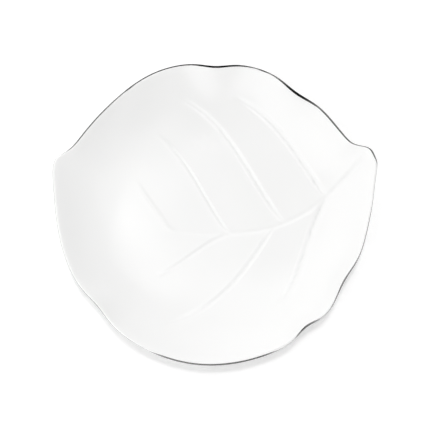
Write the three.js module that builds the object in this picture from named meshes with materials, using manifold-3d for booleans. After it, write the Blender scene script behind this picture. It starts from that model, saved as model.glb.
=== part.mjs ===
// A leaf-shaped serving plate in glazed white porcelain, with engraved veins and a platinum line on its lip
// Millimetres, +Z up: the plate stands on its foot at z = 0, its stem points to +X, its tip to -X

import * as THREE from "three";
import { mergeVertices } from "three/addons/utils/BufferGeometryUtils.js";
import Module from "manifold-3d";

const wasm = await Module();
wasm.setup();

// Foot and well
const FOOT_RADIUS = 78; // to the middle of the ring
const FOOT_WIDTH = 5; // where the ring meets the plate
const FOOT_FACE = 3.2; // width of the bare face that it stands on
const FOOT_HEIGHT = 5;
const FLAT_MARGIN = 4; // the flat underside reaches this far past the foot
const BASE_THICKNESS = 3.6; // at the centre of the well
const WELL_DISH = 4.8; // rise of the well from its centre to its edge
const WELL_POWER = 3; // of the radius, at which the well rises

// Lip and wall
const RIM_HEIGHT = 32; // middle of the lip, on a plain stretch of rim
const RIM_SLOPE = 16; // degrees, at which the wall runs out into the lip
const LIP_THICKNESS = 3.2;
const WELL_HANDLE = 36; // how far the wall keeps the well's slope
const LIP_HANDLE = 5; // how far the wall keeps the rim's slope

// Outline of the leaf: a round blade with waves and two corners, at plan angles in degrees from +X
// A wave cuts in by its depth, or swells out where that is negative, and fades over its width in degrees
const BLADE_RADIUS = 143.8;
const BLADE_OFFSET = 2; // the round sits this far off centre
const BLADE_OFFSET_AT = 100;
const WAVES = [
  { at: 37, depth: 4.3, width: 13 },
  { at: 56, depth: 6.6, width: 9.5 },
  { at: 90, depth: 4.6, width: 7.2 },
  { at: 111, depth: -2.2, width: 14 },
  { at: 136, depth: 2.4, width: 16 },
  { at: 220, depth: 3.2, width: 8.2 },
  { at: 261, depth: -2.4, width: 26 },
  { at: 307, depth: 4.5, width: 6.7 },
  { at: 330, depth: 6.6, width: 11 },
  { at: 350, depth: 3.3, width: 13 },
];
const WAVE_LIFT = 0.5; // rise of the lip for each millimetre that a wave cuts in
const WAVE_STEEPENING = 5; // degrees of wall slope for each millimetre that a wave cuts in
const STEM = {
  at: 17.8,
  reach: 14.6,
  lift: 2,
  before: { width: 8.2, power: 1.7 },
  after: { width: 6.8, power: 6 },
};
const TIP = {
  at: 162.8,
  reach: 12.3,
  lift: 3,
  before: { width: 4.7, power: 2.5 },
  after: { width: 11.1, power: 1.9 },
};

// Platinum line
const BAND_REACH = 60; // degrees of the lip's round, to each side of its crest
const BAND_THICKNESS = 0.3;
const JOIN_GAP = 0.1; // left between the body and what is fired on to it

// Veins, engraved as round grooves
const MIDRIB = { starts: 21.5, margin: 6, leaves: 231, ends: 196, endRadius: 48, arrives: 175 };
const MIDRIB_STEM_HANDLE = 95;
const MIDRIB_TIP_HANDLE = 85;
const MIDRIB_WIDTH = 5;
const MIDRIB_DEPTH = 1.3;
const MIDRIB_FADE = 0.8; // power of the distance at which the midrib grows shallow
const VEIN_WIDTH = 4.6;
const VEIN_BEND = 8; // length of the bend in which a vein turns off the midrib
const VEIN_HANDLE = 0.36; // length of a vein's handles, as a share of its sweep
const VEIN_FADE = 3.5; // the same power for the side veins
const VEIN_RISE = 0.3; // the groove tool lifts clear of the glaze by this much where a vein runs out
const VEINS = [
  { along: 0.22, leaves: 121, ends: 80.7, margin: 28.4, arrives: 152.5, depth: 2 },
  { along: 0.454, leaves: 125, ends: 108, margin: 27.4, arrives: 160, depth: 1.45 },
  { along: 0.738, leaves: 124.5, ends: 125, margin: 48, arrives: 144.5, depth: 1.1 },
  { along: 0.988, leaves: 120, ends: 155, margin: 65, arrives: 117.5, depth: 0.75 },
  { along: 0.212, leaves: 241.5, ends: 301.5, margin: 35, arrives: 229.5, depth: 2.1 },
  { along: 0.515, leaves: 238.5, ends: 245.3, margin: 27.7, arrives: 194.7, depth: 1.35 },
  { along: 0.744, leaves: 206.7, ends: 226.3, margin: 61.2, arrives: 204.6, depth: 0.85 },
];

// Finishes
const GLAZED_PORCELAIN = { color: 0xf4f4f2, roughness: 0.08, metalness: 0 };
const BARE_PORCELAIN = { color: 0xefece6, roughness: 0.6, metalness: 0 };
const PLATINUM = { color: 0xc9c9c7, roughness: 0.15, metalness: 1 };

// Fineness of the facets
const STATION_STEP = 3; // degrees between sections of the rim
const CORNER_STEP = 1; // degrees between sections across a corner
const CORNER_SPAN = 12; // degrees to each side of a corner
const WELL_RINGS = 5;
const WALL_RINGS = 6;
const LIP_STEPS = 3;
const FOOT_SIDES = 72;
const VEIN_STEPS = 13;
const VEIN_SIDES = 10;
const HALVINGS = 40; // steps of the search for the wall's height

// Sizes that follow
const FULL_TURN = 360;
const WELL_RADIUS = FOOT_RADIUS + FOOT_WIDTH / 2 + FLAT_MARGIN;
const WELL_FLOOR = FOOT_HEIGHT + BASE_THICKNESS;
const LIP_RADIUS = LIP_THICKNESS / 2;

const radians = THREE.MathUtils.degToRad;

// Unit vector in plan at an angle in degrees
function heading(angle) {
  return new THREE.Vector2(Math.cos(radians(angle)), Math.sin(radians(angle)));
}

// Signed angle from one plan direction to another, within half a turn
function turn(from, to) {
  return THREE.MathUtils.euclideanModulo(to - from + FULL_TURN / 2, FULL_TURN) - FULL_TURN / 2;
}

// Share of a corner's reach at an angle: one at the corner, falling off at its own rate on each side
function cornerShare(corner, angle) {
  const away = turn(corner.at, angle);
  const side = away < 0 ? corner.before : corner.after;
  return 1 / (1 + Math.abs(away / side.width) ** side.power);
}

// The lip at a plan angle: its outermost radius, the height of its middle, and the slope of the wall below it
function rimAt(angle) {
  let reach = BLADE_RADIUS + BLADE_OFFSET * Math.cos(radians(angle - BLADE_OFFSET_AT));
  let height = RIM_HEIGHT;
  let slope = RIM_SLOPE;
  for (const wave of WAVES) {
    const inset = wave.depth * Math.exp(-((turn(wave.at, angle) / wave.width) ** 2));
    reach -= inset;
    height += WAVE_LIFT * inset;
    slope += WAVE_STEEPENING * inset;
  }
  for (const corner of [STEM, TIP]) {
    const share = cornerShare(corner, angle);
    reach += corner.reach * share;
    height += corner.lift * share;
  }
  return { reach, height, slope: radians(slope) };
}

// Point on the round of the lip, as (distance from the axis, height), at an angle from its crest
function lipPoint(rim, radius, angle) {
  const lean = rim.slope + radians(angle);
  const across = rim.reach - LIP_RADIUS + radius * Math.cos(lean);
  return new THREE.Vector2(across, rim.height + radius * Math.sin(lean));
}

// Unit vector of a section that climbs outwards at a slope
function slopeWay(slope) {
  return new THREE.Vector2(Math.cos(slope), Math.sin(slope));
}

// Height of the well, a bowl that is nearly flat in the middle
function wellHeight(radius) {
  return WELL_FLOOR + WELL_DISH * (radius / WELL_RADIUS) ** WELL_POWER;
}

// Upper face of the wall, from the edge of the well to the lip
function wallCurve(rim) {
  const start = new THREE.Vector2(WELL_RADIUS, wellHeight(WELL_RADIUS));
  const end = lipPoint(rim, LIP_RADIUS, FULL_TURN / 4);
  const wellSlope = Math.atan((WELL_POWER * WELL_DISH) / WELL_RADIUS);
  const startHandle = slopeWay(wellSlope).multiplyScalar(WELL_HANDLE);
  const endHandle = slopeWay(rim.slope).multiplyScalar(LIP_HANDLE);
  return new THREE.CubicBezierCurve(start, startHandle.add(start), endHandle.negate().add(end), end);
}

// Lower face of the wall: the upper face moved along its normal, thinning from the well to the lip
function undersidePoint(wall, share) {
  const along = wall.getTangent(share);
  const startThickness = (wall.v0.y - FOOT_HEIGHT) / wall.getTangent(0).x;
  const thickness = THREE.MathUtils.lerp(startThickness, LIP_THICKNESS, share);
  return wall.getPoint(share).add(new THREE.Vector2(along.y, -along.x).multiplyScalar(thickness));
}

// Plan angles of the sections, closer together across the corners
function stationAngles() {
  const angles = [];
  let angle = 0;
  while (angle < FULL_TURN) {
    angles.push(angle);
    const atCorner = [STEM, TIP].some((corner) => Math.abs(turn(corner.at, angle)) < CORNER_SPAN);
    angle += atCorner ? CORNER_STEP : STATION_STEP;
  }
  return angles;
}

// Point in space from a point of a section at a plan angle
function lift(point, angle) {
  const plan = heading(angle).multiplyScalar(point.x);
  return new THREE.Vector3(plan.x, plan.y, point.y);
}

// Triangles between neighbouring sections of points, each four split along its shorter diagonal
function skinTriangles(sections, isLoop) {
  const points = sections.flat();
  const count = sections[0].length;
  const triangles = [];
  for (let i = 0; i < sections.length; i++) {
    const here = i * count;
    const next = ((i + 1) % sections.length) * count;
    for (let j = 0; j < (isLoop ? count : count - 1); j++) {
      const k = (j + 1) % count;
      const [a, b, c, d] = [here + j, here + k, next + k, next + j];
      if (points[a].distanceTo(points[c]) < points[b].distanceTo(points[d])) {
        triangles.push(a, b, c, a, c, d);
      } else {
        triangles.push(a, b, d, b, c, d);
      }
    }
  }
  return triangles;
}

// Geometry from points and triangles
function geometryOf(points, triangles) {
  const geometry = new THREE.BufferGeometry().setFromPoints(points);
  geometry.setIndex(triangles);
  geometry.computeVertexNormals();
  return geometry;
}

// Body of the plate before engraving: sections round the axis, closed at the centres of well and base
function blankGeometry() {
  const angles = stationAngles();
  const sections = angles.map((angle) => {
    const rim = rimAt(angle);
    const wall = wallCurve(rim);
    const section = [];
    for (let i = 1; i < WELL_RINGS; i++) {
      const radius = (WELL_RADIUS * i) / WELL_RINGS;
      section.push(new THREE.Vector2(radius, wellHeight(radius)));
    }
    section.push(...wall.getPoints(WALL_RINGS));
    for (let i = 0; i <= LIP_STEPS; i++) {
      section.push(lipPoint(rim, LIP_RADIUS, THREE.MathUtils.lerp(BAND_REACH, -BAND_REACH, i / LIP_STEPS)));
    }
    for (let i = WALL_RINGS; i >= 0; i--) {
      section.push(undersidePoint(wall, i / WALL_RINGS));
    }
    return section.map((point) => lift(point, angle));
  });
  const count = sections[0].length;
  const points = sections.flat();
  const triangles = skinTriangles(sections, false);
  const wellCentre = points.push(new THREE.Vector3(0, 0, WELL_FLOOR)) - 1;
  const baseCentre = points.push(new THREE.Vector3(0, 0, FOOT_HEIGHT)) - 1;
  for (let i = 0; i < sections.length; i++) {
    const here = i * count;
    const next = ((i + 1) % sections.length) * count;
    triangles.push(wellCentre, here, next, here + count - 1, baseCentre, next + count - 1);
  }
  return geometryOf(points, triangles);
}

// Height of the upper face over a point in plan, found on the wall by halving
function topHeight(plan) {
  const radius = plan.length();
  if (radius <= WELL_RADIUS) {
    return wellHeight(radius);
  }
  const wall = wallCurve(rimAt(THREE.MathUtils.radToDeg(plan.angle())));
  let low = 0;
  let high = 1;
  for (let i = 0; i < HALVINGS; i++) {
    const middle = (low + high) / 2;
    if (wall.getPoint(middle).x < radius) {
      low = middle;
    } else {
      high = middle;
    }
  }
  return wall.getPoint(low).y;
}

// Plan point at an angle, a margin inside the lip
function insideRim(angle, margin) {
  return heading(angle).multiplyScalar(rimAt(angle).reach - margin);
}

// The midrib in plan, from the stem to where it dies out in the well
function midribCurve() {
  const start = insideRim(MIDRIB.starts, MIDRIB.margin);
  const end = heading(MIDRIB.ends).multiplyScalar(MIDRIB.endRadius);
  const startHandle = heading(MIDRIB.leaves).multiplyScalar(MIDRIB_STEM_HANDLE).add(start);
  const endHandle = heading(MIDRIB.arrives).multiplyScalar(-MIDRIB_TIP_HANDLE).add(end);
  return new THREE.CubicBezierCurve(start, startHandle, endHandle, end);
}

// A side vein in plan: a short bend off the midrib, then a sweep towards the rim
function veinCurve(midrib, vein) {
  const fork = midrib.getPoint(vein.along);
  const before = midrib.getTangent(vein.along).multiplyScalar(-VEIN_BEND).add(fork);
  const after = heading(vein.leaves).multiplyScalar(VEIN_BEND).add(fork);
  const end = insideRim(vein.ends, vein.margin);
  const handle = VEIN_HANDLE * after.distanceTo(end);
  const startHandle = heading(vein.leaves).multiplyScalar(handle).add(after);
  const endHandle = heading(vein.arrives).multiplyScalar(-handle).add(end);
  const path = new THREE.CurvePath();
  path.add(new THREE.QuadraticBezierCurve(before, fork, after));
  path.add(new THREE.CubicBezierCurve(after, startHandle, endHandle, end));
  return path;
}

// Groove tool: a round bar that follows a plan curve just above the upper face and climbs out at the far end
function grooveTool(curve, width, depth, fadePower) {
  const radius = (width ** 2 / 4 + depth ** 2) / (2 * depth);
  const centres = curve.getSpacedPoints(VEIN_STEPS).map((plan, i) => {
    const fade = (i / VEIN_STEPS) ** fadePower;
    const sunk = THREE.MathUtils.lerp(depth, -VEIN_RISE, fade);
    return new THREE.Vector3(plan.x, plan.y, topHeight(plan) + radius - sunk);
  });
  const circle = new THREE.Shape().absarc(0, 0, radius, 0, 2 * Math.PI);
  return new THREE.ExtrudeGeometry(circle, {
    extrudePath: new THREE.CatmullRomCurve3(centres),
    steps: VEIN_STEPS,
    curveSegments: VEIN_SIDES,
    bevelEnabled: false,
  });
}

// A closed geometry as a solid that can be joined and cut
function solidOf(geometry) {
  geometry.deleteAttribute("normal");
  geometry.deleteAttribute("uv");
  const merged = mergeVertices(geometry);
  const vertProperties = new Float32Array(merged.getAttribute("position").array);
  const triVerts = new Uint32Array(merged.getIndex().array);
  return new wasm.Manifold(new wasm.Mesh({ numProp: 3, vertProperties, triVerts }));
}

// A solid back as a geometry
function geometryFrom(solid) {
  const mesh = solid.getMesh();
  const geometry = new THREE.BufferGeometry();
  geometry.setAttribute("position", new THREE.BufferAttribute(mesh.vertProperties, mesh.numProp));
  geometry.setIndex(new THREE.BufferAttribute(mesh.triVerts, 1));
  geometry.computeVertexNormals();
  return geometry;
}

// The porcelain body with its midrib and veins engraved
function leafDish() {
  const midrib = midribCurve();
  let body = solidOf(blankGeometry());
  body = body.subtract(solidOf(grooveTool(midrib, MIDRIB_WIDTH, MIDRIB_DEPTH, MIDRIB_FADE)));
  for (const vein of VEINS) {
    const curve = veinCurve(midrib, vein);
    body = body.subtract(solidOf(grooveTool(curve, VEIN_WIDTH, vein.depth, VEIN_FADE)));
  }
  return geometryFrom(body);
}

// The foot: a tapered ring under the flat base
function footRing() {
  const top = FOOT_HEIGHT - JOIN_GAP;
  const profile = [
    new THREE.Vector2(FOOT_RADIUS - FOOT_FACE / 2, 0),
    new THREE.Vector2(FOOT_RADIUS + FOOT_FACE / 2, 0),
    new THREE.Vector2(FOOT_RADIUS + FOOT_WIDTH / 2, top),
    new THREE.Vector2(FOOT_RADIUS - FOOT_WIDTH / 2, top),
    new THREE.Vector2(FOOT_RADIUS - FOOT_FACE / 2, 0),
  ];
  return new THREE.LatheGeometry(profile, FOOT_SIDES).rotateX(Math.PI / 2);
}

// The platinum line: a thin shell round the crest of the lip
function platinumRim() {
  const angles = stationAngles();
  const inner = LIP_RADIUS + JOIN_GAP;
  const outer = inner + BAND_THICKNESS;
  const sections = angles.map((angle) => {
    const rim = rimAt(angle);
    const over = [];
    const under = [];
    for (let i = 0; i <= LIP_STEPS; i++) {
      const reach = THREE.MathUtils.lerp(BAND_REACH, -BAND_REACH, i / LIP_STEPS);
      over.push(lipPoint(rim, outer, reach));
      under.unshift(lipPoint(rim, inner, reach));
    }
    return [...over, ...under].map((point) => lift(point, angle));
  });
  return geometryOf(sections.flat(), skinTriangles(sections, true));
}

// Named mesh with its own material
function piece(name, geometry, finish) {
  const mesh = new THREE.Mesh(geometry, new THREE.MeshStandardMaterial(finish));
  mesh.name = name;
  return mesh;
}

const plate = new THREE.Group();
plate.add(piece("leaf_dish", leafDish(), GLAZED_PORCELAIN));
plate.add(piece("foot_ring", footRing(), BARE_PORCELAIN));
plate.add(piece("platinum_rim", platinumRim(), PLATINUM));

export default plate;
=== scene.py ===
import math

import bpy
import numpy as np
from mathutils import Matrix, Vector


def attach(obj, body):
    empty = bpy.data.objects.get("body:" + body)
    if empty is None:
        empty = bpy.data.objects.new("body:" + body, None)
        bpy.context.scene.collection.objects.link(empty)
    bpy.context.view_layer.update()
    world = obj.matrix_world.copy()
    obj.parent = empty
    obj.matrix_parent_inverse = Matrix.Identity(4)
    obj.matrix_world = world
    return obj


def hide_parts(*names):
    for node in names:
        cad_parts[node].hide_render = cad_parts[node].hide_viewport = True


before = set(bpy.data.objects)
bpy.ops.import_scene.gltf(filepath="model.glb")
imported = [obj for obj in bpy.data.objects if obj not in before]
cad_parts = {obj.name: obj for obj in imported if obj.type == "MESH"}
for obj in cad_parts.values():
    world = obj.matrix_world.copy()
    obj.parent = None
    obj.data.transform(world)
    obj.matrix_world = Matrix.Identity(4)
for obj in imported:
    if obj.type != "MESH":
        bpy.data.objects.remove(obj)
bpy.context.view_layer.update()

scene = bpy.context.scene

# Sizes are in millimetres and angles in degrees; plan angles turn from +X towards +Y
MM = 0.001

# Foot ring: mean radius, widths at the base and at the bearing face, rounded edge and cove
FOOT_RADIUS = 78.0
FOOT_WIDTH = 5.0
FOOT_FACE = 3.2
FOOT_HEIGHT = 5.0
FOOT_EDGE = 0.7
FOOT_COVE = 1.4

# Well: it rises by the dish's height at its edge, with a power of the radius
FLAT_MARGIN = 4.0
BASE_THICKNESS = 3.6
WELL_DISH = 4.8
WELL_POWER = 3.0
WELL_RADIUS = FOOT_RADIUS + FOOT_WIDTH / 2 + FLAT_MARGIN
WELL_FLOOR = FOOT_HEIGHT + BASE_THICKNESS

# Wall and lip: the handles say how long the wall keeps the well's slope and the rim's
RIM_HEIGHT = 32.0
RIM_SLOPE = 16.0
LIP_THICKNESS = 3.2
LIP_RADIUS = LIP_THICKNESS / 2
WELL_HANDLE = 36.0
LIP_HANDLE = 5.0

# Blade: a round that reaches a little further towards one plan angle
BLADE_RADIUS = 143.8
BLADE_OFFSET = 2.0
BLADE_OFFSET_AT = 100.0

# Waves of the lip: plan angle, depth that it cuts in, width in degrees
WAVES = (
    (37, 4.3, 13), (56, 6.6, 9.5), (90, 4.6, 7.2), (111, -2.2, 14), (136, 2.4, 16),
    (220, 3.2, 8.2), (261, -2.4, 26), (307, 4.5, 6.7), (330, 6.6, 11), (350, 3.3, 13),
)
# For each millimetre that a wave cuts in, the lip rises and the wall steepens
WAVE_LIFT = 0.5
WAVE_STEEPENING = 5.0

# Corners of the leaf: plan angle, reach, lift, then width and power on each side
STEM_CORNER = (17.8, 14.6, 2.0, (8.2, 1.7), (6.8, 6.0))
TIP_CORNER = (162.8, 12.3, 3.0, (4.7, 2.5), (11.1, 1.9))

# Midrib in plan: where it starts inside the lip, where it dies out, its headings and handles there
MIDRIB_STARTS = 21.5
MIDRIB_MARGIN = 6.0
MIDRIB_LEAVES = 231
MIDRIB_STEM_HANDLE = 95.0
MIDRIB_ENDS = 196
MIDRIB_END_RADIUS = 48.0
MIDRIB_ARRIVES = 175
MIDRIB_TIP_HANDLE = 85.0

# Side veins: share along the midrib, heading there, plan angle of the end, its margin to the lip,
# heading there, depth of the groove
VEINS = (
    (0.22, 121, 80.7, 28.4, 152.5, 2.0), (0.454, 125, 108, 27.4, 160, 1.45),
    (0.738, 124.5, 125, 48.0, 144.5, 1.1), (0.988, 120, 155, 65.0, 117.5, 0.5),
    (0.212, 241.5, 301.5, 35.0, 229.5, 2.1), (0.515, 238.5, 245.3, 27.7, 194.7, 1.35),
    (0.744, 206.7, 226.3, 61.2, 204.6, 0.85),
)
# Length of the bend off the midrib, and handles as a share of the sweep that follows
VEIN_BEND = 8.0
VEIN_HANDLE = 0.36

# Grooves: half width, power with which they grow shallow along the way, share in which they begin
MIDRIB_DEPTH = 1.3
MIDRIB_GROOVE = (2.0, 0.8, 0.03)
VEIN_GROOVE = (1.8, 6.0, 0.17)
UNION_POWER = 4.0
# Depth of a groove that is tinted fully, by glaze gathered there and by painted shade, and how steeply
# the tint grows with depth
POOL_AND_SHADE_DEPTH = 2.2
POOL_AND_SHADE_POWER = 3

# Fineness of the meshes
SECTORS = 640
FOOT_SECTORS = SECTORS // 2
FOOT_BEND_STEPS = 6
WELL_RINGS = 68
WALL_RINGS = 52
LIP_RINGS = 9
UNDER_RINGS = 14
BASE_RINGS = 3
VEIN_SAMPLES = 72
BEND_SAMPLES = 12
BAND_STEPS = 12

# Platinum line: angle that it covers below the lip's edge, then least, most and limit above it
BAND_REACH = 32.0
BAND_INNER_REACH = (15.0, 84.0)
BAND_LIMIT = 88.0
# Waver of its hand-drawn borders: swing in degrees, count round the plate, start
BAND_WAVERS = ((2.2, 7, 40), (1.6, 17, 110))
# Section of the film: height at its crown and edges, depth of its bedding, flatness of the crown
BAND_THICKNESS = 0.14
BAND_EDGE = 0.01
BAND_BEDDING = 0.06
BAND_CROWN_POWER = 4
# The film gathers by an amount in the lip's folds, which are full where a wave cuts in this deep
FULL_FOLD = 5.0
FILM_IN_FOLDS = 0.25
# Stretches where it lies thicker and darker; their darkness also paints shade into the line, the dark
# reflection of the studio along the far rim and the shadow under the near rim's front. Columns: plan
# angle of the middle, half length, amount, more in a full fold; then the power with which a stretch
# ends
FILM_LAID_AND_PAINTED_DARK = (
    (98.0, 26.5, 0.9, 0.2), (60.0, 13.2, 0.64, 0.0), (32.0, 15.5, 0.8, -0.3),
    (141.0, 18.5, 0.68, -0.25), (270.0, 23.0, 0.7, 0.0), (307.0, 6.0, 0.0, 0.45),
)
FILM_EASE = 12

# Finishes: colours, noise as (scale to the metre, detail, roughness), bump as (strength, metres)
WHITE = (1, 1, 1, 1)
PORCELAIN = (0.93, 0.93, 0.925, 1)
# Grey of the deepest grooves: glaze gathered there, darkened as painted shade of the engraving
POOLED_GLAZE_AND_SHADE = (0.84, 0.842, 0.84, 1)
BARE_PORCELAIN = (0.82, 0.79, 0.74, 1)
THIN_FILM = ((0.58, 0.58, 0.575, 1), (0.68, 0.68, 0.675, 1))
# Near-black of the film where it lies thicker, also a painted dark reflection of the studio and painted
# shadow under the near edge
THICK_FILM_AND_PAINTED_DARK = (0.012, 0.012, 0.012, 1)
GLAZE_IOR = 1.58
GLAZE_DRIFT = (11.0, 3.0, 0.5)
GLAZE_TONES = (0.985, 1.015)
GLAZE_ROUGHNESS = (0.05, 0.1)
ORANGE_PEEL = (210.0, 2.0, 0.4)
PEEL_BUMP = (0.35, 0.00004)
BARE_ROUGHNESS = 0.75
BARE_GRAIN = (1500.0, 4.0, 0.7)
GRAIN_BUMP = (0.3, 0.00005)
FILM_MOTTLE = (140.0, 4.0, 0.6)
FILM_ROUGHNESS = (0.06, 0.16)
# Edge of the glaze wiped off the foot: heights in metres where it begins, its ragged swing and noise
WIPED_EDGE = (0.0010, 0.0013)
WIPED_SWING = 0.0008
WIPED_NOISE = (160.0, 3.0, 0.6)

# Floor: a disc, and how far it is lifted towards white for the camera and for reflections
FLOOR_RADIUS = 6000.0
FLOOR_SECTORS = 128
FLOOR_COLOUR = (0.93, 0.93, 0.93, 1)
FLOOR_ROUGHNESS = 0.9
FLOOR_LIFT = 0.165

# Studio: level of the surround, then round zones as (azimuth, elevation, inner and outer angle), level
SKY_LEVEL = 0.79
BOXES = (
    ((115, 45, 10, 35), 0.23), ((222, 45, 12, 38), 0.57),
    ((84, 6, 30, 46), 0.29), ((270, 20, 18, 46), 0.13),
)
DIM_ZONES = (
    ((136, 72, 8, 17), 0.0), ((247, 80, 7, 17), 0.0),
    ((306, 62, 8, 20), 0.0), ((0, 18, 10, 45), 0.14),
)
REFLECTED_BOXES = (
    ((58, 63, 3, 13), 0.78), ((27, 67, 3, 13), 0.53),
    ((66, 70, 5, 15), 0.2), ((48, 72, 2, 10), 0.6),
)
# Key lamp: azimuth, elevation and apparent size, then its strength
KEY = (88, 87, 7)
KEY_STRENGTH = 0.7

# Camera: angle off the plate's axis, distance, point it looks at, pixels across and their size there
CAMERA_TILT = 15.0
CAMERA_DISTANCE = 1400.0
CAMERA_TARGET = (-0.1, -1.0, 20.0)
PICTURE_PIXELS = 430
PIXEL_SIZE = 0.933


def turn(start, end):
    """Signed angle from one plan direction to another, in degrees, within half a turn."""
    return (end - start + 180.0) % 360.0 - 180.0


def heading(degrees):
    """Unit plan vector at an angle: its cosine and sine."""
    return np.stack([np.cos(np.radians(degrees)), np.sin(np.radians(degrees))], axis=-1)


def around(sectors):
    """Plan angles of evenly spaced sectors of a full turn."""
    return np.arange(sectors) * 360.0 / sectors


def corner_share(corner, degrees):
    """One at the corner, falling as one over one plus a power of the angle away, set for each side."""
    away = turn(corner[0], degrees)
    width = np.where(away < 0, corner[3][0], corner[4][0])
    power = np.where(away < 0, corner[3][1], corner[4][1])
    return 1 / (1 + (np.abs(away) / width) ** power)


def rim_at(degrees):
    """Reach, height and slope of the lip: a round, less a bell curve for each wave, plus corners."""
    reach = BLADE_RADIUS + BLADE_OFFSET * np.cos(np.radians(degrees - BLADE_OFFSET_AT))
    height = np.full_like(reach, RIM_HEIGHT)
    slope = np.full_like(reach, RIM_SLOPE)
    for at, depth, width in WAVES:
        inset = depth * np.exp(-(turn(at, degrees) / width) ** 2)
        reach = reach - inset
        height = height + WAVE_LIFT * inset
        slope = slope + WAVE_STEEPENING * inset
    for corner in (STEM_CORNER, TIP_CORNER):
        share = corner_share(corner, degrees)
        reach = reach + corner[1] * share
        height = height + corner[2] * share
    return reach, height, np.radians(slope)


def lip_point(rim, radius, degrees):
    """Point (distance from the axis, height) of a circle round the lip's middle, at an angle up from
    the wall's own slope."""
    reach, height, slope = rim
    lean = slope + np.radians(degrees)
    out = reach - LIP_RADIUS + radius * np.cos(lean)
    return np.stack([out, height + radius * np.sin(lean)], axis=-1)


def well_height(radius):
    """Height of the well: a shallow bowl, its rise growing with a power of the radius."""
    return WELL_FLOOR + WELL_DISH * (radius / WELL_RADIUS) ** WELL_POWER


def bezier(points, share):
    """Cubic curve through the first and last of four points, drawn towards the two between."""
    a, b, c, d = points
    t = share[..., None]
    return (1 - t) ** 3 * a + 3 * (1 - t) ** 2 * t * b + 3 * (1 - t) * t ** 2 * c + t ** 3 * d


def bezier_tangent(points, share):
    """Unit direction of the cubic curve: its derivative, made one long."""
    a, b, c, d = points
    t = share[..., None]
    along = (1 - t) ** 2 * (b - a) + 2 * (1 - t) * t * (c - b) + t ** 2 * (d - c)
    return along / np.linalg.norm(along, axis=-1, keepdims=True)


def wall_curve(rim):
    """Four points of the wall's upper face: the well's edge, a handle on the well's slope, one on the
    rim's slope, and the top of the lip."""
    start = np.broadcast_to([WELL_RADIUS, well_height(WELL_RADIUS)], rim[0].shape + (2,))
    well_slope = math.atan(WELL_POWER * WELL_DISH / WELL_RADIUS)
    well_way = np.array([math.cos(well_slope), math.sin(well_slope)])
    rim_way = np.stack([np.cos(rim[2]), np.sin(rim[2])], axis=-1)
    end = lip_point(rim, LIP_RADIUS, 90.0)
    return start, start + WELL_HANDLE * well_way, end - LIP_HANDLE * rim_way, end


def underside(curve, share):
    """The wall's upper face moved back along its normal, by a thickness that falls evenly to that
    of the lip."""
    along = bezier_tangent(curve, share)
    normal = np.stack([along[..., 1], -along[..., 0]], axis=-1)
    start_tangent = bezier_tangent(curve, np.zeros_like(share))
    start_thickness = (curve[0][..., 1] - FOOT_HEIGHT) / start_tangent[..., 0]
    thickness = start_thickness + (LIP_THICKNESS - start_thickness) * share
    return bezier(curve, share) + thickness[..., None] * normal


def inside_rim(degrees, margin):
    """Plan point at an angle, a margin inside the lip."""
    return (rim_at(np.asarray(float(degrees)))[0] - margin) * heading(degrees)


def midrib_curve():
    """Four plan points of the midrib, from the stem to where it dies out in the well."""
    start = inside_rim(MIDRIB_STARTS, MIDRIB_MARGIN)
    end = MIDRIB_END_RADIUS * heading(MIDRIB_ENDS)
    first = start + MIDRIB_STEM_HANDLE * heading(MIDRIB_LEAVES)
    last = end - MIDRIB_TIP_HANDLE * heading(MIDRIB_ARRIVES)
    return start, first, last, end


def vein_path(midrib, vein):
    """Plan points of a side vein: a quadratic bend off the midrib, then a cubic sweep to its end."""
    along, leaves, ends, margin, arrives, _ = vein
    share = np.asarray(along)
    fork = bezier(midrib, share)
    before = fork - VEIN_BEND * bezier_tangent(midrib, share)
    after = fork + VEIN_BEND * heading(leaves)
    end = inside_rim(ends, margin)
    handle = VEIN_HANDLE * np.linalg.norm(end - after)
    sweep = after, after + handle * heading(leaves), end - handle * heading(arrives), end
    t = np.linspace(0, 1, BEND_SAMPLES)[:-1, None]
    bend = (1 - t) ** 2 * before + 2 * (1 - t) * t * fork + t ** 2 * after
    return np.concatenate([bend, bezier(sweep, np.linspace(0, 1, VEIN_SAMPLES))])


def path_distance(plan, path):
    """Least distance from each plan point to a path's straight steps, and how far along the path, as a
    share, the nearest point is."""
    step = path[1:] - path[:-1]
    span = np.linalg.norm(step, axis=1)
    run = np.concatenate([[0], np.cumsum(span)])
    best = np.full(len(plan), np.inf)
    share = np.zeros(len(plan))
    for start, way_on, length, begun in zip(path[:-1], step, span, run):
        t = np.clip((plan - start) @ way_on / length ** 2, 0, 1)
        away = np.linalg.norm(plan - start - t[:, None] * way_on, axis=1)
        nearer = away < best
        best = np.where(nearer, away, best)
        share = np.where(nearer, (begun + t * length) / run[-1], share)
    return best, share


def vein_relief(plan):
    """Depth of the engraving over plan points: a bell across each vein, shallow where it begins and
    ends, joined to the others by a root of the sum of powers."""
    midrib = midrib_curve()
    midrib_path = bezier(midrib, np.linspace(0, 1, VEIN_SAMPLES))
    paths = [(midrib_path, MIDRIB_DEPTH, MIDRIB_GROOVE)]
    for vein in VEINS:
        paths.append((vein_path(midrib, vein), vein[-1], VEIN_GROOVE))
    groove = np.zeros(len(plan))
    for path, depth, (width, fade_power, begins) in paths:
        away, share = path_distance(plan, path)
        fade = (1 - share ** fade_power) * np.clip(share / begins, 0, 1)
        groove += (depth * fade * np.exp(-(away / width) ** 2)) ** UNION_POWER
    return groove ** (1 / UNION_POWER)


def lift(section, degrees):
    """Points in space from (distance from the axis, height) and a plan angle."""
    plan = section[..., :1] * heading(degrees)
    return np.concatenate([plan, section[..., 1:]], axis=-1)


def ring_points(rings, degrees):
    """All points in space of rings of (distance from the axis, height), one after the other."""
    return np.concatenate([lift(ring, degrees) for ring in rings])


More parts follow.
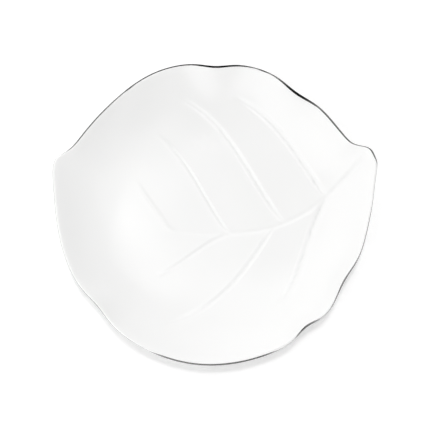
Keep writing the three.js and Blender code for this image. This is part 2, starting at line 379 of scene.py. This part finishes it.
def grid_faces(rows, columns, rows_loop):
    """Four corners of each cell of a grid of points whose columns join round and whose rows may."""
    row = np.arange(rows if rows_loop else rows - 1)[:, None]
    column = np.arange(columns)[None, :]
    above = (row + 1) % rows
    beside = (column + 1) % columns
    corners = [
        row * columns + column, above * columns + column,
        above * columns + beside, row * columns + beside,
    ]
    return np.stack(np.broadcast_arrays(*corners), axis=-1).reshape(-1, 4)


def fan_faces(pole, first, sectors):
    """Three corners of each face between a pole and the ring of points that begins at a number."""
    here = np.arange(sectors)
    beside = (here + 1) % sectors
    return np.stack([np.full(sectors, pole), first + here, first + beside], axis=-1)


def piece(name, points, quads, triangles, material):
    """Mesh object at the origin from points in millimetres and four- and three-sided faces."""
    mesh = bpy.data.meshes.new(name)
    mesh.vertices.add(len(points))
    mesh.vertices.foreach_set("co", (points * MM).astype(np.float32).ravel())
    corners = np.concatenate([quads.ravel(), triangles.ravel()]).astype(np.int32)
    sizes = np.concatenate([np.full(len(quads), 4), np.full(len(triangles), 3)])
    starts = np.concatenate([[0], np.cumsum(sizes)[:-1]]).astype(np.int32)
    mesh.loops.add(len(corners))
    mesh.loops.foreach_set("vertex_index", corners)
    mesh.polygons.add(len(sizes))
    mesh.polygons.foreach_set("loop_start", starts)
    mesh.polygons.foreach_set("use_smooth", np.ones(len(sizes), dtype=bool))
    mesh.update(calc_edges=True)
    mesh.validate()
    mesh.materials.append(material)
    made = bpy.data.objects.new(name, mesh)
    scene.collection.objects.link(made)
    return made


def mark_points(made, name, values):
    """Keep a value for each point of a piece, for its material to read."""
    attribute = made.data.attributes.new(name, "FLOAT", "POINT")
    attribute.data.foreach_set("value", values.astype(np.float32))


def leaf_dish(material):
    """The body: rings of points from the well's centre over wall and lip to the centre of the base,
    its upper face lowered by the depth of the veins."""
    degrees = around(SECTORS)
    rim = rim_at(degrees)
    curve = wall_curve(rim)
    rings = []
    for radius in np.linspace(0, WELL_RADIUS, WELL_RINGS + 1)[1:-1]:
        rings.append(np.broadcast_to([radius, well_height(radius)], (SECTORS, 2)))
    for share in np.linspace(0, 1, WALL_RINGS):
        rings.append(bezier(curve, np.full(SECTORS, share)))
    top_rings = len(rings)
    for lean in np.linspace(90, -90, LIP_RINGS + 2)[1:-1]:
        rings.append(lip_point(rim, LIP_RADIUS, lean))
    for share in np.linspace(1, 0, UNDER_RINGS):
        rings.append(underside(curve, np.full(SECTORS, share)))
    base_edge = rings[-1]
    for share in np.linspace(1, 0, BASE_RINGS + 1)[1:-1]:
        rings.append(np.stack([base_edge[:, 0] * share, base_edge[:, 1]], axis=-1))
    poles = [[0, 0, WELL_FLOOR], [0, 0, FOOT_HEIGHT]]
    points = np.concatenate([ring_points(rings, degrees), poles])
    well_pole = len(points) - 2
    base_pole = len(points) - 1

    top = np.r_[0:top_rings * SECTORS, well_pole]
    groove = vein_relief(points[top, :2])
    points[top, 2] -= groove
    # Grooves are tinted grey with depth: glaze gathered in them, and painted shade
    pooled_and_shaded = np.zeros(len(points))
    pooled_and_shaded[top] = (groove / POOL_AND_SHADE_DEPTH) ** POOL_AND_SHADE_POWER

    well_fan = fan_faces(well_pole, 0, SECTORS)
    base_fan = fan_faces(base_pole, well_pole - SECTORS, SECTORS)[:, ::-1]
    made = piece("porcelain_leaf", points, grid_faces(len(rings), SECTORS, False),
                 np.concatenate([well_fan, base_fan]), material)
    mark_points(made, "glaze_pool_and_shade", pooled_and_shaded)
    return made


def film_laid_and_painted_dark(degrees, rim):
    """How much the film gathers, from none to one: some in each fold of the lip, and more on stretches
    that end by a high power of the angle from their middle. Its darkness is partly painted shade: the
    studio's dark reflection along the far rim, the shadow under the near rim's front."""
    fold = np.clip(np.degrees(rim[2]) - RIM_SLOPE, 0, None) / WAVE_STEEPENING / FULL_FOLD
    laid_and_painted_dark = FILM_IN_FOLDS * fold
    for middle, spread, amount, in_folds in FILM_LAID_AND_PAINTED_DARK:
        here = np.exp(-(turn(middle, degrees) / spread) ** FILM_EASE)
        # Each stretch also darkens the line as painted shade: dark reflection along the far rim, shadow
        # at the near rim's front
        laid_and_painted_dark = laid_and_painted_dark + here * (amount + in_folds * fold)
    return np.clip(laid_and_painted_dark, 0, 1)


def platinum_rim(material):
    """The metal line: a film over the lip's edge, wider where it lies thicker, its section a flat
    crown that thins to hand-drawn borders."""
    degrees = around(SECTORS)
    rim = rim_at(degrees)
    thick_and_painted_dark = film_laid_and_painted_dark(degrees, rim)
    waver = np.zeros(SECTORS)
    for swing, count, start in BAND_WAVERS:
        waver = waver + swing * np.sin(np.radians(count * degrees + start))
    least, most = BAND_INNER_REACH
    low = -BAND_REACH - waver
    high = np.minimum(least + (most - least) * thick_and_painted_dark + waver, BAND_LIMIT)
    rings = []
    for share in np.linspace(1, 0, BAND_STEPS + 1):
        crown = 1 - (2 * share - 1) ** BAND_CROWN_POWER
        radius = LIP_RADIUS + BAND_THICKNESS * crown + BAND_EDGE
        rings.append(lip_point(rim, radius, low + (high - low) * share))
    for share in np.linspace(0, 1, BAND_STEPS + 1):
        rings.append(lip_point(rim, LIP_RADIUS - BAND_BEDDING, low + (high - low) * share))
    made = piece("platinum_line", ring_points(rings, degrees), grid_faces(len(rings), SECTORS, True),
                 np.zeros((0, 3), int), material)
    # This darkness, partly painted reflection and shadow, goes to the material
    mark_points(made, "film", np.tile(thick_and_painted_dark, len(rings)))
    return made


def foot_ring(material):
    """The foot: a profile with a rounded bearing edge and a cove under the base, turned round."""
    degrees = around(FOOT_SECTORS)
    bend = np.radians(np.linspace(0, 90, FOOT_BEND_STEPS))
    edge_out = FOOT_FACE / 2 - FOOT_EDGE + FOOT_EDGE * np.sin(bend)
    edge_up = FOOT_EDGE - FOOT_EDGE * np.cos(bend)
    cove_out = FOOT_WIDTH / 2 + FOOT_COVE * (1 - np.cos(bend))
    cove_up = FOOT_HEIGHT - FOOT_COVE + FOOT_COVE * np.sin(bend)
    outer = np.stack([np.r_[edge_out, cove_out], np.r_[edge_up, cove_up]], axis=-1)
    profile = np.concatenate([outer, outer[::-1] * [-1, 1]]) + [FOOT_RADIUS, 0]
    rings = [np.broadcast_to(point, (FOOT_SECTORS, 2)) for point in profile]
    faces = grid_faces(len(rings), FOOT_SECTORS, True)[:, ::-1]
    return piece("foot_ring_turned", ring_points(rings, degrees), faces,
                 np.zeros((0, 3), int), material)


def feed(tree, slot, value):
    """Give an input a plain value, or a link where the value is another node's output."""
    if isinstance(value, bpy.types.NodeSocket):
        tree.links.new(value, slot)
    else:
        slot.default_value = value


def math_node(tree, operation, *values):
    """Result of a Math node on values or sockets."""
    made = tree.nodes.new("ShaderNodeMath")
    made.operation = operation
    for slot, value in zip(made.inputs, values):
        feed(tree, slot, value)
    return made.outputs["Value"]


def mixed(tree, kind, factor, below, above):
    """Number or colour that goes from one to another as a factor goes from none to one."""
    made = tree.nodes.new("ShaderNodeMix")
    made.data_type = kind
    for slot, value in (("Factor", factor), ("A", below), ("B", above)):
        feed(tree, made.inputs[slot], value)
    return made.outputs["Result"]


def ranged(tree, value, given=(0.0, 1.0), wanted=(0.0, 1.0), ease="LINEAR"):
    """A socket's value carried from a given range on to a wanted one, straight or eased at its ends."""
    made = tree.nodes.new("ShaderNodeMapRange")
    made.interpolation_type = ease
    for slot, limit in zip(("From Min", "From Max", "To Min", "To Max"), (*given, *wanted)):
        made.inputs[slot].default_value = limit
    tree.links.new(value, made.inputs["Value"])
    return made.outputs["Result"]


def noise(tree, place, kind):
    """Noise of a scale, detail and roughness, from none to one, over a place."""
    made = tree.nodes.new("ShaderNodeTexNoise")
    for slot, value in zip(("Scale", "Detail", "Roughness"), kind):
        made.inputs[slot].default_value = value
    tree.links.new(place, made.inputs["Vector"])
    return made.outputs["Fac"]


def object_place(tree):
    """Object coordinates of the piece."""
    return tree.nodes.new("ShaderNodeTexCoord").outputs["Object"]


def marked(tree, name):
    """Value that was kept for each point of the piece."""
    made = tree.nodes.new("ShaderNodeAttribute")
    made.attribute_name = name
    return made.outputs["Fac"]


def bumped(tree, shader, height, bump):
    """Bump of a strength and depth in metres on a shader's normal."""
    made = tree.nodes.new("ShaderNodeBump")
    made.inputs["Strength"].default_value = bump[0]
    made.inputs["Distance"].default_value = bump[1]
    tree.links.new(height, made.inputs["Height"])
    tree.links.new(made.outputs["Normal"], shader.inputs["Normal"])


def glaze_group():
    """Clear glaze over white porcelain: slow drift of tone and gloss, a darker tint where it pools that
    also paints shade in the grooves, and faint orange peel."""
    tree = bpy.data.node_groups.new("clear_glaze", "ShaderNodeTree")
    for side, name, kind in (
        ("INPUT", "Body", "Color"), ("INPUT", "Pool_and_shade", "Color"), ("INPUT", "Depth", "Float"),
        ("OUTPUT", "Tone", "Color"), ("OUTPUT", "Roughness", "Float"), ("OUTPUT", "Relief", "Float"),
    ):
        tree.interface.new_socket(name, in_out=side, socket_type="NodeSocket" + kind)
    given = tree.nodes.new("NodeGroupInput").outputs
    out = tree.nodes.new("NodeGroupOutput").inputs
    place = object_place(tree)
    drift = noise(tree, place, GLAZE_DRIFT)
    tone = tree.nodes.new("ShaderNodeVectorMath")
    tone.operation = "SCALE"
    pooled_and_shaded = mixed(tree, "RGBA", given["Depth"], given["Body"], given["Pool_and_shade"])
    tree.links.new(pooled_and_shaded, tone.inputs[0])
    tree.links.new(ranged(tree, drift, wanted=GLAZE_TONES), tone.inputs["Scale"])
    tree.links.new(tone.outputs["Vector"], out["Tone"])
    tree.links.new(ranged(tree, drift, wanted=GLAZE_ROUGHNESS), out["Roughness"])
    tree.links.new(noise(tree, place, ORANGE_PEEL), out["Relief"])
    return tree


def glaze_coat(tree, glaze, pool_and_shade):
    """The clear glaze placed in a material's tree, with the colour that it has where it pools, darkened
    as painted shade.
    """
    made = tree.nodes.new("ShaderNodeGroup")
    made.node_tree = glaze
    made.inputs["Body"].default_value = PORCELAIN
    made.inputs["Pool_and_shade"].default_value = pool_and_shade
    return made


def new_material(name):
    """A material, its node tree and its Principled shader."""
    made = bpy.data.materials.new(name)
    made.use_nodes = True
    return made, made.node_tree, made.node_tree.nodes["Principled BSDF"]


def porcelain_material(glaze):
    """White porcelain under clear glaze, with glaze gathered in the engraved veins and painted shade
    darkening them.
    """
    made, tree, shader = new_material("glazed_porcelain")
    coat = glaze_coat(tree, glaze, POOLED_GLAZE_AND_SHADE)
    tree.links.new(marked(tree, "glaze_pool_and_shade"), coat.inputs["Depth"])
    tree.links.new(coat.outputs["Tone"], shader.inputs["Base Color"])
    tree.links.new(coat.outputs["Roughness"], shader.inputs["Roughness"])
    bumped(tree, shader, coat.outputs["Relief"], PEEL_BUMP)
    shader.inputs["IOR"].default_value = GLAZE_IOR
    return made


def foot_material(glaze):
    """Glazed sides of the foot, wiped along a ragged edge to bare matt porcelain where it stands."""
    made, tree, shader = new_material("foot_porcelain")
    coat = glaze_coat(tree, glaze, PORCELAIN)
    place = object_place(tree)
    split = tree.nodes.new("ShaderNodeSeparateXYZ")
    tree.links.new(place, split.inputs["Vector"])
    ragged = noise(tree, place, WIPED_NOISE)
    height = math_node(tree, "MULTIPLY_ADD", ragged, WIPED_SWING, split.outputs["Z"])
    glazed = ranged(tree, height, given=WIPED_EDGE)
    colour = mixed(tree, "RGBA", glazed, BARE_PORCELAIN, coat.outputs["Tone"])
    roughness = mixed(tree, "FLOAT", glazed, BARE_ROUGHNESS, coat.outputs["Roughness"])
    tree.links.new(colour, shader.inputs["Base Color"])
    tree.links.new(roughness, shader.inputs["Roughness"])
    bumped(tree, shader, noise(tree, place, BARE_GRAIN), GRAIN_BUMP)
    return made


def platinum_material():
    """Fired platinum: a grey metal film, mottled by its drying, darker where it lies thicker, and
    darker still as painted shade, the studio's dark reflection along the far rim and the shadow under
    the near rim's front.
    """
    made, tree, shader = new_material("platinum_film")
    mottle = noise(tree, object_place(tree), FILM_MOTTLE)
    thin = mixed(tree, "RGBA", mottle, *THIN_FILM)
    # Near-black where the film gathers: thicker metal and painted shade
    colour = mixed(tree, "RGBA", marked(tree, "film"), thin, THICK_FILM_AND_PAINTED_DARK)
    tree.links.new(colour, shader.inputs["Base Color"])
    tree.links.new(ranged(tree, mottle, wanted=FILM_ROUGHNESS), shader.inputs["Roughness"])
    shader.inputs["Metallic"].default_value = 1.0
    return made


def floor():
    """A pale floor disc, wide enough to fill low views, that keeps the plate's shadow and is lifted to
    white where the camera or a reflection sees it."""
    ring = np.broadcast_to([FLOOR_RADIUS, 0.0], (FLOOR_SECTORS, 2))
    points = np.concatenate([lift(ring, around(FLOOR_SECTORS)), [[0, 0, 0]]])
    material, tree, shader = new_material("pale_floor")
    shader.inputs["Base Color"].default_value = FLOOR_COLOUR
    shader.inputs["Roughness"].default_value = FLOOR_ROUGHNESS
    shader.inputs["Specular IOR Level"].default_value = 0.0
    shader.inputs["Emission Color"].default_value = WHITE
    ray = tree.nodes.new("ShaderNodeLightPath").outputs
    seen = math_node(tree, "ADD", ray["Is Camera Ray"], ray["Is Glossy Ray"])
    seen = math_node(tree, "ADD", seen, ray["Is Transmission Ray"])
    glow = math_node(tree, "MULTIPLY", seen, FLOOR_LIFT)
    tree.links.new(glow, shader.inputs["Emission Strength"])
    fan = fan_faces(FLOOR_SECTORS, 0, FLOOR_SECTORS)
    made = piece("floor", points, np.zeros((0, 4), int), fan, material)


def way(azimuth, elevation):
    """Unit vector at an azimuth from +X and an elevation above the floor."""
    flat = math.cos(math.radians(elevation))
    plan = math.radians(azimuth)
    rise = math.sin(math.radians(elevation))
    return Vector((flat * math.cos(plan), flat * math.sin(plan), rise))


def soft_disc(tree, place, disc):
    """Mask of a round zone of the sky: one within its inner angle of the middle, falling smoothly to
    none at its outer angle."""
    azimuth, elevation, inner, outer = disc
    facing = tree.nodes.new("ShaderNodeVectorMath")
    facing.operation = "DOT_PRODUCT"
    facing.inputs[1].default_value = way(azimuth, elevation)
    tree.links.new(place, facing.inputs[0])
    edges = (math.cos(math.radians(outer)), math.cos(math.radians(inner)))
    return ranged(tree, facing.outputs["Value"], given=edges, ease="SMOOTHSTEP")


def studio():
    """Soft studio: an even surround with soft boxes added, zones dimmed over it, small boxes on top."""
    world = bpy.data.worlds.new("studio")
    world.use_nodes = True
    scene.world = world
    tree = world.node_tree
    place = tree.nodes.new("ShaderNodeTexCoord").outputs["Generated"]
    level = SKY_LEVEL
    for disc, strength in BOXES:
        level = math_node(tree, "MULTIPLY_ADD", soft_disc(tree, place, disc), strength, level)
    for disc, dim in DIM_ZONES:
        level = mixed(tree, "FLOAT", soft_disc(tree, place, disc), level, dim)
    for disc, strength in REFLECTED_BOXES:
        level = math_node(tree, "MULTIPLY_ADD", soft_disc(tree, place, disc), strength, level)
    back = tree.nodes["Background"]
    back.inputs["Color"].default_value = WHITE
    tree.links.new(level, back.inputs["Strength"])


def key_lamp():
    """Soft key above the plate, which lays the shadow under its near edge."""
    azimuth, elevation, size = KEY
    data = bpy.data.lights.new("key", "SUN")
    data.energy = KEY_STRENGTH
    data.angle = math.radians(size)
    made = bpy.data.objects.new("key", data)
    made.rotation_euler = (-way(azimuth, elevation)).to_track_quat("-Z", "Y").to_euler()
    made.visible_glossy = False
    scene.collection.objects.link(made)


def camera():
    """Camera at the photograph's angle: in front of the plate and tilted off its axis."""
    tilt = math.radians(CAMERA_TILT)
    data = bpy.data.cameras.new("camera")
    width = PICTURE_PIXELS * PIXEL_SIZE
    data.angle = 2 * math.atan(width / 2 / CAMERA_DISTANCE)
    made = bpy.data.objects.new("camera", data)
    scene.collection.objects.link(made)
    away = Vector((0, -math.sin(tilt), math.cos(tilt)))
    made.location = (Vector(CAMERA_TARGET) + away * CAMERA_DISTANCE) * MM
    made.rotation_euler = (-away).to_track_quat("-Z", "Y").to_euler()
    scene.camera = made


camera()
studio()
key_lamp()
floor()
glaze = glaze_group()
for made, replaced, slot in (
    (leaf_dish(porcelain_material(glaze)), "leaf_dish", "glazed_porcelain"),
    (foot_ring(foot_material(glaze)), "foot_ring", "bare_porcelain"),
    (platinum_rim(platinum_material()), "platinum_rim", "platinum_line"),
):
    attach(made, "root")
    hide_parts(replaced)

scene.view_settings.view_transform = "Standard"
